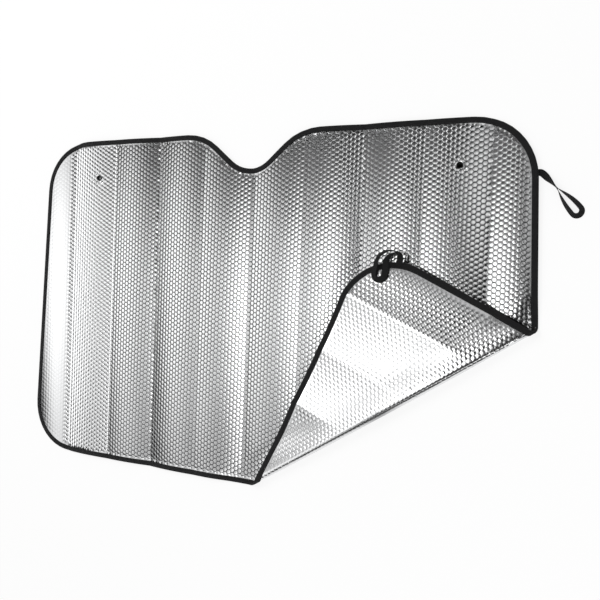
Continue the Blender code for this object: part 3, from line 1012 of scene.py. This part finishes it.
@dataclass
class EdgeBinding:
    """Cloth tape folded over the whole rim, with a seam through both its plies."""

    sheet: FoldedSheet
    width: float = 0.0108
    station_length: float = 0.005
    seam_inset: float = 0.0082
    seam_dip: float = 0.00025
    seam_half_width: float = 0.0008
    stitch_length: float = 0.0030
    stitch_pitch: float = 0.0042
    stitch_radius: float = 0.00036
    stitch_flatness: float = 0.8
    cloth: ClothFinish = ClothFinish("tape_weave", warp=1100.0, weft=1400.0)
    thread: ClothFinish = ClothFinish(
        "binding_thread", colour=(0.014, 0.014, 0.015), worn=(0.04, 0.04, 0.041), sheen=0.1
    )

    def _section(self) -> list[Pair]:
        """Section of the folded tape, its seam and its lining.

        Returns:
            Points of the section, each its distance in from the rim and its height off the sheet's middle.
        """
        pattern = self.sheet.pattern
        outer, inner = pattern.tape_outer, pattern.tape_inner
        nose = -pattern.tape_gap - pattern.tape_thickness
        half = [
            (self.width, inner + 0.00030),
            (self.width - 0.0003, outer - 0.00010),
            (self.width - 0.0010, outer),
            (self.seam_inset + self.seam_half_width, outer - 0.00005),
            (self.seam_inset, outer - self.seam_dip),
            (self.seam_inset - self.seam_half_width, outer - 0.00005),
            (0.0060, outer),
            (0.0030, outer),
            (0.0010, outer - 0.00020),
            (-0.0003, outer * 0.78),
            (nose * 0.85, outer * 0.45),
            (nose, 0.0),
        ]
        lining = [
            (-pattern.tape_gap, 0.0),
            (-pattern.tape_gap * 0.5, inner * 0.6),
            (0.0012, inner),
            (self.width - 0.0002, inner),
        ]
        back = [(inset, -height) for inset, height in half[-2::-1]]
        lining_back = [(inset, -height) for inset, height in lining[:0:-1]]
        return half + back + lining_back + lining

    def build(self) -> list[Object]:
        """Model the tape and its seam.

        Returns:
            The tape, then the stitches.
        """
        stations = self.sheet.stations(self.station_length)

        def place(station: int, point: Pair) -> Vector:
            """Place of a section point at a station of the rim."""
            spot = stations[station][0] - stations[station][1] * point[0]
            return self.sheet.folded(spot.x, spot.y, point[1])

        strip = SweptStrip("binding_tape", self._section(), closed=True)
        tape = strip.build([station[2] for station in stations], place)
        tape.data.materials.append(self.cloth.make())
        return [tape, self._stitch()]

    def _stitch(self) -> Object:
        """Model the seam's stitches on both faces of the tape.

        Returns:
            The finished piece.
        """
        bm = bmesh.new()
        bmesh.ops.create_uvsphere(bm, u_segments=5, v_segments=4, radius=self.stitch_radius)
        stretch = self.stitch_length / 2 / self.stitch_radius
        bmesh.ops.rotate(bm, verts=bm.verts[:], matrix=Matrix.Rotation(math.pi / 2, 3, "Y"))
        bmesh.ops.scale(bm, verts=bm.verts[:], vec=(stretch, 1.0, self.stitch_flatness))
        size = len(bm.verts)
        stations = self.sheet.stations(self.stitch_pitch)[:-1]
        places = [(face, spot, outward) for face in Face for spot, outward, _ in stations]
        while len(bm.verts) < size * len(places):
            repeat(bm, bm.verts[:] + bm.edges[:] + bm.faces[:], [Vector((self.stitch_pitch, 0.0, 0.0))])
        verts = bm.verts[:]
        bmesh.ops.delete(bm, geom=verts[size * len(places) :])
        lift = self.sheet.pattern.tape_outer - self.seam_dip
        layer = bm.loops.layers.uv.new("pattern")
        for index, (face, spot, outward) in enumerate(places):
            ahead = Vector((-outward.y, outward.x))
            for vert in verts[index * size : (index + 1) * size]:
                along = (vert.co.x + self.stitch_length) % self.stitch_pitch - self.stitch_length
                flat = spot + ahead * along + outward * (vert.co.y - self.seam_inset)
                for loop in vert.link_loops:
                    loop[layer].uv = flat
                vert.co = self.sheet.folded(flat.x, flat.y, (lift + vert.co.z) * face.value)
        bmesh.ops.recalc_face_normals(bm, faces=bm.faces[:])
        seam = add_piece("binding_stitches", bm)
        seam.data.materials.append(self.thread.make())
        return seam


@dataclass
class StrapLoop:
    """Elastic ribbon sewn flat by both ends, then twisted on edge into an open, splayed loop."""

    sheet: FoldedSheet
    place: StrapPlace
    inset: float
    stem_share: float
    opening: float
    splay: float
    route: tuple[Triple, ...]
    width: float = 0.013
    thickness: float = 0.0010
    seam: float = 0.009
    clearance: float = 0.003
    seat_gap: float = 0.0003
    seam_share: float = 0.19
    ribs: int = 6
    rib_depth: float = 0.00012
    edge_round: float = 0.0005
    stem_steps: int = 30
    arm_steps: int = 20
    tip_steps: int = 12
    look_ahead: float = 0.01
    cloth: ClothFinish = ClothFinish("elastic_ribbon", warp=500.0, weft=1500.0, roughness=0.85)

    def _middle(self) -> tuple[list[Vector], Vector]:
        """Middle line of the loop.

        Returns:
            Points of the line from its seam to its tip, and the direction that its seam faces.
        """
        pattern = self.sheet.pattern
        seat = pattern.tape_outer + self.seat_gap * 1.5 + self.thickness
        if self.place is StrapPlace.UPPER:
            v = pattern.height - self.inset
            u = pattern.right_rim(v)
            facing = self.sheet.seat(u, v).col[2].to_3d()
            floor = Vector((self.sheet.shift.x, self.sheet.shift.y, 0.0))
            rest = [Vector((u + out, v + along, lift)) + floor for out, along, lift in self.route]
        else:
            v = self.inset
            u = pattern.right_rim(v)
            facing = -self.sheet.seat(u, v).col[2].to_3d()
            rest = [self.sheet.folded(u + out, v + along, -lift) for out, along, lift in self.route]
        sewn = [self.sheet.folded(u + out, v, -seat) for out in (-self.seam, self.clearance)]
        return sewn + rest, facing

    def _on_curve(self, points: Sequence[Vector], share: float) -> Vector:
        """Follow a smooth curve through some points, straight over its first span.

        Args:
            points: Points of the curve.
            share: Share of its spans that are passed.

        Returns:
            The point.
        """
        spans = len(points) - 1
        span = min(int(share * spans), spans - 1)
        t = share * spans - span
        start, end = points[span], points[span + 1]
        before = points[span - 1] if span > 0 else start * 2 - end
        after = points[span + 2] if span + 1 < spans else end * 2 - start
        slope_in = (end - before) / 2 if span > 1 else start - before
        slope_out = (after - start) / 2 if span > 0 else end - start
        eased = start * (2 * t**3 - 3 * t**2 + 1) + end * (3 * t**2 - 2 * t**3)
        return eased + slope_in * (t**3 - 2 * t**2 + t) + slope_out * (t**3 - t**2)

    def _stations(self, tip_share: float) -> list[tuple[float, float, float, float]]:
        """Stations of the stem, of the loop's arms and of the half circle at its tip.

        Args:
            tip_share: Share of the strap's length in the half circle.

        Returns:
            For each station a share of the length, a share of the opening, the angle swung round
            the tip, and the lean that takes the ribbon's lower edge out of the loop.
        """
        stem = [(self.stem_share * i / self.stem_steps, 0.0, 0.0, 0.0) for i in range(self.stem_steps)]
        arm_share = 1.0 - self.stem_share - tip_share
        arms = []
        for step in range(self.arm_steps):
            spread = math.sin(math.pi / 2 * step / self.arm_steps)
            share = self.stem_share + arm_share * step / self.arm_steps
            arms.append((share, spread, 0.0, self.splay * spread))
        tip = []
        for step in range(self.tip_steps + 1):
            swing = math.pi / 2 * step / self.tip_steps
            share = 1.0 - tip_share * (1.0 - math.sin(swing))
            tip.append((share, math.cos(swing), swing, self.splay))
        return stem + arms + tip

    def _plies(self) -> list[tuple[Vector, Vector]]:
        """Stations of the ribbon, from one sewn end round the loop to the other.

        Returns:
            The place and the direction across the ribbon at each station.
        """
        middle, facing = self._middle()
        tip_share = self.opening / 2 / (middle[-1] - middle[-2]).length / (len(middle) - 1)
        plies = (self.thickness + self.seat_gap) / 2
        near, far = [], []
        for share, spread, swing, lean in self._stations(tip_share):
            spot = self._on_curve(middle, share)
            spot.z -= self.width / 2 * (1.0 - math.cos(lean))
            before = self._on_curve(middle, max(share - self.look_ahead, 0.0))
            ahead = (self._on_curve(middle, min(share + self.look_ahead, 1.0)) - before).normalized()
            turned = smooth_step((share - self.seam_share) / (self.stem_share - self.seam_share))
            level = ahead.cross(facing.lerp(Vector((0.0, 0.0, 1.0)), turned)).normalized()
            upright = level.cross(ahead)
            twist = math.pi / 2 * turned
            stack = upright * math.cos(twist) + level * math.sin(twist)
            wide = level * math.cos(twist) - upright * math.sin(twist)
            apart = plies * math.sqrt(1.0 - share**6) + self.opening / 2 * spread
            for way, side in ((1.0, near), (-1.0, far)):
                outward = stack * way * math.cos(swing) + ahead * math.sin(swing)
                leaning = wide * math.cos(lean) + outward * math.sin(lean)
                side.append((spot + stack * way * apart, leaning.normalized()))
        return near + far[-2::-1]

    def _section(self) -> list[Pair]:
        """Section of the ribbed ribbon.

        Returns:
            Points of the section, each its place across the ribbon and its height off the middle.
        """
        upper = []
        steps = self.ribs * 4
        for step in range(steps + 1):
            share = step / steps
            edge = min(share, 1.0 - share) * self.width
            body = self.thickness / 2 * math.sqrt(min(edge / self.edge_round, 1.0))
            rib = self.rib_depth * (0.5 + 0.5 * math.cos(math.tau * self.ribs * share))
            upper.append((self.width * (share - 0.5), max(body - rib, 0.0)))
        return upper + [(across, -height) for across, height in upper[-2:0:-1]]

    def build(self) -> Object:
        """Model the loop.

        Returns:
            The finished piece.
        """
        plies = self._plies()
        lengths = [0.0]
        for (before, _), (after, _) in zip(plies, plies[1:]):
            lengths.append(lengths[-1] + (after - before).length)

        def place(station: int, point: Pair) -> Vector:
            """Place of a section point at a station of the loop.

            Args:
                station: Number of the station.
                point: Place across the ribbon and height off its middle.

            Returns:
                The place in the row's frame.
            """
            spot, wide = plies[station]
            ahead = plies[min(station + 1, len(plies) - 1)][0] - plies[max(station - 1, 0)][0]
            return spot + wide * point[0] + ahead.cross(wide).normalized() * point[1]

        strap = SweptStrip(f"{self.place.name.lower()}_loop", self._section(), closed=False)
        piece = strap.build(lengths, place)
        piece.data.materials.append(self.cloth.make())
        return piece


@dataclass
class SuctionCup:
    """Clear cup held in a black eyelet: flange on the face, washer behind, cup through both."""

    sheet: FoldedSheet
    side: Side
    inset: float = 0.188
    pair_shift: float = 0.011
    drop: float = 0.093
    flange_radius: float = 0.0070
    flange_height: float = 0.0012
    barrel_radius: float = 0.0055
    barrel_wall: float = 0.0012
    washer_height: float = 0.0010
    gap: float = 0.0003
    cup_radius: float = 0.0135
    cup_height: float = 0.0085
    cup_wall: float = 0.0016
    lip: float = 0.0012
    shoulder: float = 0.0012
    neck_radius: float = 0.0039
    head_radius: float = 0.0065
    head_height: float = 0.0028
    turns: int = 64
    arc_steps: int = 8
    sharp_angle: float = 40.0
    plastic: PlasticFinish = PlasticFinish("black_moulding")
    vinyl: VinylFinish = VinylFinish("cup_vinyl")

    @property
    def place(self) -> Pair:
        """Place of the cup on the flat pattern."""
        reach = self.sheet.pattern.foot_width / 2 - self.inset
        return self.pair_shift + self.side.value * reach, self.sheet.pattern.height - self.drop

    def build(self) -> list[Object]:
        """Model the eyelet, its washer and the cup.

        Returns:
            The three finished pieces in that order.
        """
        face = self.sheet.pattern.thickness / 2 + self.gap
        under = -face - self.washer_height
        bore = self.barrel_radius - self.barrel_wall
        top = face + self.flange_height
        round_off = self.flange_height / 3
        eyelet = [
            (bore, under),
            (self.barrel_radius, under),
            (self.barrel_radius, face),
            (self.flange_radius - round_off / 3, face),
            (self.flange_radius, face + round_off / 2),
            (self.flange_radius, top - round_off * 1.6),
            (self.flange_radius - round_off, top - round_off / 3),
            (self.flange_radius - round_off * 2.4, top),
            (bore + round_off * 2, top),
            (bore + round_off / 2, top - round_off / 2),
            (bore, top - round_off * 1.6),
        ]
        washer = [
            (self.barrel_radius + self.gap, under),
            (self.flange_radius - 0.0006, under),
            (self.flange_radius - 0.0001, under + 0.0003),
            (self.flange_radius, -face - 0.0003),
            (self.flange_radius - 0.0002, -face),
            (self.barrel_radius + self.gap, -face),
        ]
        name = self.side.name.lower()
        pieces = [
            self._turn(f"{name}_eyelet_ring", eyelet),
            self._turn(f"{name}_washer_ring", washer),
            self._turn(f"{name}_clear_cup", self._cup_section()),
        ]
        for piece, finish in zip(pieces, (self.plastic, self.plastic, self.vinyl)):
            piece.data.materials.append(bpy.data.materials.get(finish.name) or finish.make())
        return pieces

    def _cup_section(self) -> list[Pair]:
        """Section of the cup from its head up.

        Returns:
            Points of the section, each its radius and its height off the sheet's middle.
        """
        back = -self.sheet.pattern.thickness / 2 - self.gap * 2 - self.washer_height
        face = self.sheet.pattern.thickness / 2 + self.gap * 2 + self.flange_height
        lip = face + self.cup_height
        throat = self.neck_radius + self.cup_wall
        section = [
            (0.0, back - self.head_height),
            (self.head_radius * 0.55, back - self.head_height),
            (self.head_radius * 0.85, back - self.head_height * 0.8),
            (self.head_radius, back - self.head_height * 0.45),
            (self.head_radius * 0.96, back),
            (self.neck_radius, back),
            (self.neck_radius, face),
            (throat, face),
            (throat, face + self.shoulder),
        ]
        quarter = [math.pi / 2 * step / self.arc_steps for step in range(1, self.arc_steps + 1)]
        for turn in quarter:
            radius = throat + (self.cup_radius - throat) * math.sin(turn) ** 0.9
            climb = (self.cup_height - self.shoulder) * (1.0 - math.cos(turn)) ** 0.8
            section.append((radius, face + self.shoulder + climb))
        section.append((self.cup_radius - self.lip * 0.5, lip))
        section.append((self.cup_radius - self.lip, lip - 0.0003))
        floor = self.shoulder + self.cup_wall
        for turn in quarter[-2::-1]:
            radius = (self.cup_radius - self.lip) * math.sin(turn) ** 0.95
            climb = (self.cup_height - floor) * (1.0 - math.cos(turn)) ** 0.85
            section.append((radius, face + floor + climb))
        section.append((0.0, face + floor))
        return section

    def _turn(self, name: str, section: Sequence[Pair]) -> Object:
        """Spin a section about the cup's own axis and set it in the sheet.

        Args:
            name: Name of the new piece.
            section: Radius and height of each point.

        Returns:
            The finished piece. Its reach attribute is each point's share of the cup's radius.
        """
        bm = bmesh.new()
        verts = [bm.verts.new((radius, 0.0, height)) for radius, height in section]
        edges = [bm.edges.new(pair) for pair in zip(verts, verts[1:])]
        if section[0][0] > 0.0:
            edges.append(bm.edges.new((verts[-1], verts[0])))
        axis = (0.0, 0.0, 1.0)
        bmesh.ops.spin(
            bm, geom=verts + edges, axis=axis, angle=math.tau, steps=self.turns, use_merge=True
        )
        bmesh.ops.remove_doubles(bm, verts=bm.verts[:], dist=MERGE_DISTANCE / 5)
        bmesh.ops.recalc_face_normals(bm, faces=bm.faces[:])
        reach = bm.verts.layers.float.new("reach")
        for vert in bm.verts:
            vert[reach] = vert.co.to_2d().length / self.cup_radius
        bmesh.ops.transform(bm, matrix=self.sheet.seat(*self.place), verts=bm.verts[:])
        return add_piece(name, bm, self.sharp_angle)


@dataclass(frozen=True)
class SoftBoard:
    """Bright or dark patch of the tent, fading to all sides. Its angles are in degrees."""

    azimuth: float
    elevation: float
    half_width: float
    half_height: float
    level: float


@dataclass(frozen=True)
class LightTent:
    """Half sphere over the shade that only shiny surfaces see."""

    name: str = "light_tent"
    radius: float = 2.6
    segments: int = 64
    level: float = 0.66
    boards: tuple[SoftBoard, ...] = (
        SoftBoard(116.0, 26.0, 44.0, 55.0, -2.5),
        SoftBoard(209.0, 74.0, 87.0, 9.0, 2.5),
        SoftBoard(267.0, 88.0, 29.0, 34.0, 1.75),
        SoftBoard(335.0, 32.0, 60.0, 8.0, 3.9),
        SoftBoard(172.0, 11.0, 37.0, 51.0, 2.2),
        SoftBoard(193.0, 86.0, 69.0, 40.0, -1.05),
        SoftBoard(234.0, 28.0, 89.0, 8.0, -2.7),
        SoftBoard(319.0, 61.0, 39.0, 43.0, -3.0),
        SoftBoard(248.0, 2.0, 12.0, 51.0, 1.45),
        SoftBoard(313.0, 33.0, 16.0, 14.0, 1.3),
    )

    def build(self) -> Object:
        """Stand the tent over the shade.

        Returns:
            The tent, seen by shiny surfaces only.
        """
        bm = bmesh.new()
        bmesh.ops.create_uvsphere(
            bm, u_segments=self.segments, v_segments=self.segments // 2, radius=self.radius
        )
        bmesh.ops.delete(bm, geom=[vert for vert in bm.verts if vert.co.z < -MERGE_DISTANCE])
        tent = add_piece(self.name, bm)
        for rays in ("camera", "diffuse", "transmission", "shadow"):
            setattr(tent, f"visible_{rays}", False)
        tent.data.materials.append(self._paint())
        return tent

    def _paint(self) -> Material:
        """Glow at the tent's own level, with every board added to it.

        Returns:
            The new material.
        """
        board = NodeBoard(bpy.data.materials.new(self.name))
        parts = board.parts(board.place())
        azimuth = board.math("ARCTAN2", parts["Y"], parts["X"])
        elevation = board.math("ARCSINE", board.math("DIVIDE", parts["Z"], self.radius))
        total = self.level
        for patch in self.boards:
            bell = self._bell(board, (azimuth, elevation), patch)
            total = board.math("MULTIPLY_ADD", bell, patch.level, total)
        glow = board.add("ShaderNodeEmission")
        board.link(board.math("MAXIMUM", total, 0.0), glow.inputs["Strength"])
        board.show(glow.outputs["Emission"])
        board.owner.cycles.emission_sampling = "NONE"
        return board.owner

    def _bell(self, board: NodeBoard, way: Sequence[NodeSocket], patch: SoftBoard) -> NodeSocket:
        """Bell curve over a board's two half sizes.

        Args:
            board: Node tree of the tent's material.
            way: Azimuth and elevation of the place.
            patch: Board that glows there.

        Returns:
            The curve, 1 at the board's middle.
        """
        azimuth, elevation = way
        aside = board.math("COSINE", board.math("SUBTRACT", azimuth, math.radians(patch.azimuth)))
        steepness = 2.0 / math.radians(patch.half_width) ** 2
        aside = board.math("MULTIPLY", board.math("SUBTRACT", aside, 1.0), steepness)
        above = board.math("SUBTRACT", elevation, math.radians(patch.elevation))
        above = board.math("DIVIDE", above, math.radians(patch.half_height))
        above = board.math("MULTIPLY", above, above)
        return board.math("EXPONENT", board.math("SUBTRACT", aside, above))


@dataclass(frozen=True)
class SoftLamp:
    """Square soft lamp that faces the middle of the shade."""

    name: str
    place: Triple
    size: float
    power: float

    def build(self) -> None:
        """Hang the lamp."""
        data = bpy.data.lights.new(self.name, "AREA")
        data.shape = "SQUARE"
        data.size = self.size
        data.energy = self.power
        lamp = bpy.data.objects.new(self.name, data)
        lamp.location = self.place
        lamp.rotation_euler = (-Vector(self.place)).to_track_quat("-Z", "Y").to_euler()
        lamp.visible_camera = False
        bpy.context.scene.collection.objects.link(lamp)


@dataclass
class Studio:
    """White room with a pale floor, soft lamps and a tent for the foil to reflect."""

    floor_size: float = 12.0
    floor_colour: Triple = (0.93, 0.93, 0.93)
    floor_roughness: float = 0.9
    floor_gloss: float = 0.1
    floor_glow: float = 0.8
    floor_strength: float = 1.03
    room_light: float = 0.55
    lamps: tuple[SoftLamp, ...] = (
        SoftLamp("key_lamp", (-1.5, 1.6, 2.6), 1.6, 38.0),
        SoftLamp("fill_lamp", (1.8, -1.4, 2.2), 1.4, 16.0),
    )
    tent: LightTent = LightTent()
    dark_spots: tuple[Vector, ...] = ()
    dark_reach: float = 0.05

    def build(self) -> None:
        """Set up floor, room, lamps and tent."""
        self._lay_floor()
        self._light_room()
        for lamp in self.lamps:
            lamp.build()
        self.tent.build()

    def _lay_floor(self) -> None:
        """Lay the floor just under the shade, its glow left out in the dark under the eyelets."""
        bm = bmesh.new()
        bmesh.ops.create_grid(bm, x_segments=1, y_segments=1, size=self.floor_size / 2)
        floor = add_piece("floor", bm)
        board = NodeBoard(bpy.data.materials.new("floor_paint"))
        board.shader.inputs["Base Color"].default_value = (*self.floor_colour, 1.0)
        board.set(Roughness=self.floor_roughness, Specular_IOR_Level=self.floor_gloss)
        glow = board.add("ShaderNodeEmission")
        glow.inputs["Strength"].default_value = self.floor_strength
        share = board.math("MULTIPLY", board.seen(), self.floor_glow)
        place = board.place()
        for spot in self.dark_spots:
            away = board.add("ShaderNodeVectorMath", operation="DISTANCE")
            away.inputs[1].default_value = spot
            board.link(place, away.inputs[0])
            lit = board.math("GREATER_THAN", away.outputs["Value"], self.dark_reach)
            share = board.math("MULTIPLY", share, lit)
        board.show_mix(share, board.shader.outputs["BSDF"], glow.outputs["Emission"])
        floor.data.materials.append(board.owner)

    def _light_room(self) -> None:
        """White room for the camera and for shiny surfaces, softer light for everything else."""
        world = bpy.data.worlds.new("white_room")
        bpy.context.scene.world = world
        board = NodeBoard(world)
        backgrounds = (board.tree.nodes["Background"], board.add("ShaderNodeBackground"))
        for background, strength in zip(backgrounds, (self.room_light, 1.0)):
            background.inputs["Strength"].default_value = strength
            background.inputs["Color"].default_value = WHITE
        board.show_mix(board.seen(), *(background.outputs["Background"] for background in backgrounds))


@dataclass(frozen=True)
class ViewCamera:
    """Camera at the photograph's place, above the right half and looking down to the left."""

    place: Triple = (0.8671, 0.0746, 1.4688)
    forward: Triple = (-0.4640, -0.0295, -0.8853)
    up: Triple = (-0.0483, 0.9988, -0.0080)
    lens: float = 45.0
    film: float = 36.0
    nearest: float = 0.01

    def build(self) -> None:
        """Set up the camera and make it the scene's own."""
        data = bpy.data.cameras.new("view_camera")
        data.lens = self.lens
        data.sensor_width = self.film
        data.clip_start = self.nearest
        camera = bpy.data.objects.new("view_camera", data)
        back = -Vector(self.forward).normalized()
        right = Vector(self.up).cross(back).normalized()
        turn = Matrix((right, back.cross(right), back)).transposed().to_4x4()
        turn.translation = Vector(self.place)
        camera.matrix_world = turn
        bpy.context.scene.collection.objects.link(camera)
        bpy.context.scene.camera = camera


def stand_for(piece: Object, slot: str, *nodes: str) -> None:
    """Let a piece ride on the shade and stand for its solids by hiding them.

    Args:
        piece: The finished piece.
        slot: Material slot of the record. Not used.
        nodes: Solids that the piece stands for.
    """
    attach(piece, BODY)
    if nodes:
        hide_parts(*nodes)
    piece.data.calc_loop_triangles()
    LOG.info("%s: %d triangles", piece.name, len(piece.data.loop_triangles))


def main() -> None:
    """Build the studio and every piece of the shade."""
    logging.basicConfig(level=logging.INFO, format="%(name)s %(message)s")
    bpy.context.scene.view_settings.view_transform = "Standard"
    ViewCamera().build()
    sheet = FoldedSheet(FoldedPattern())
    cups = [SuctionCup(sheet, side) for side in Side]
    Studio(dark_spots=tuple(sheet.seat(*cup.place).translation for cup in cups)).build()
    films = BubbleFoil(sheet, tuple(cup.place for cup in cups)).build()
    for film in films.values():
        stand_for(film, "metallised_foil", "foil_panel")
    tape, stitches = EdgeBinding(sheet).build()
    stand_for(tape, "binding_cloth", "edge_binding")
    stand_for(stitches, "binding_cloth")
    straps = (
        StrapLoop(
            sheet,
            StrapPlace.UPPER,
            inset=0.111,
            stem_share=0.50,
            opening=0.0185,
            splay=math.radians(45.0),
            route=(
                (0.0190, -0.0128, 0.0072),
                (0.0359, -0.0310, 0.0072),
                (0.0490, -0.0462, 0.0072),
                (0.0630, -0.0625, 0.0072),
                (0.0774, -0.0797, 0.0072),
            ),
        ),
        StrapLoop(
            sheet,
            StrapPlace.LOWER,
            inset=0.084,
            stem_share=0.36,
            opening=0.0225,
            splay=math.radians(70.0),
            route=(
                (0.0170, -0.0090, 0.0125),
                (0.0100, -0.0240, 0.0165),
                (-0.0075, -0.0335, 0.0150),
                (-0.0290, -0.0296, 0.0122),
                (-0.0490, -0.0245, 0.0116),
            ),
        ),
    )
    for strap in straps:
        stand_for(strap.build(), "elastic", strap.place.value)
    for cup in cups:
        name = cup.side.name.lower()
        ring, washer, clear = cup.build()
        stand_for(ring, "eyelet_plastic", f"{name}_eyelet")
        stand_for(washer, "eyelet_plastic", f"{name}_eyelet_washer")
        stand_for(clear, "clear_vinyl", f"{name}_suction_cup")


if __name__ == "__main__":
    main()
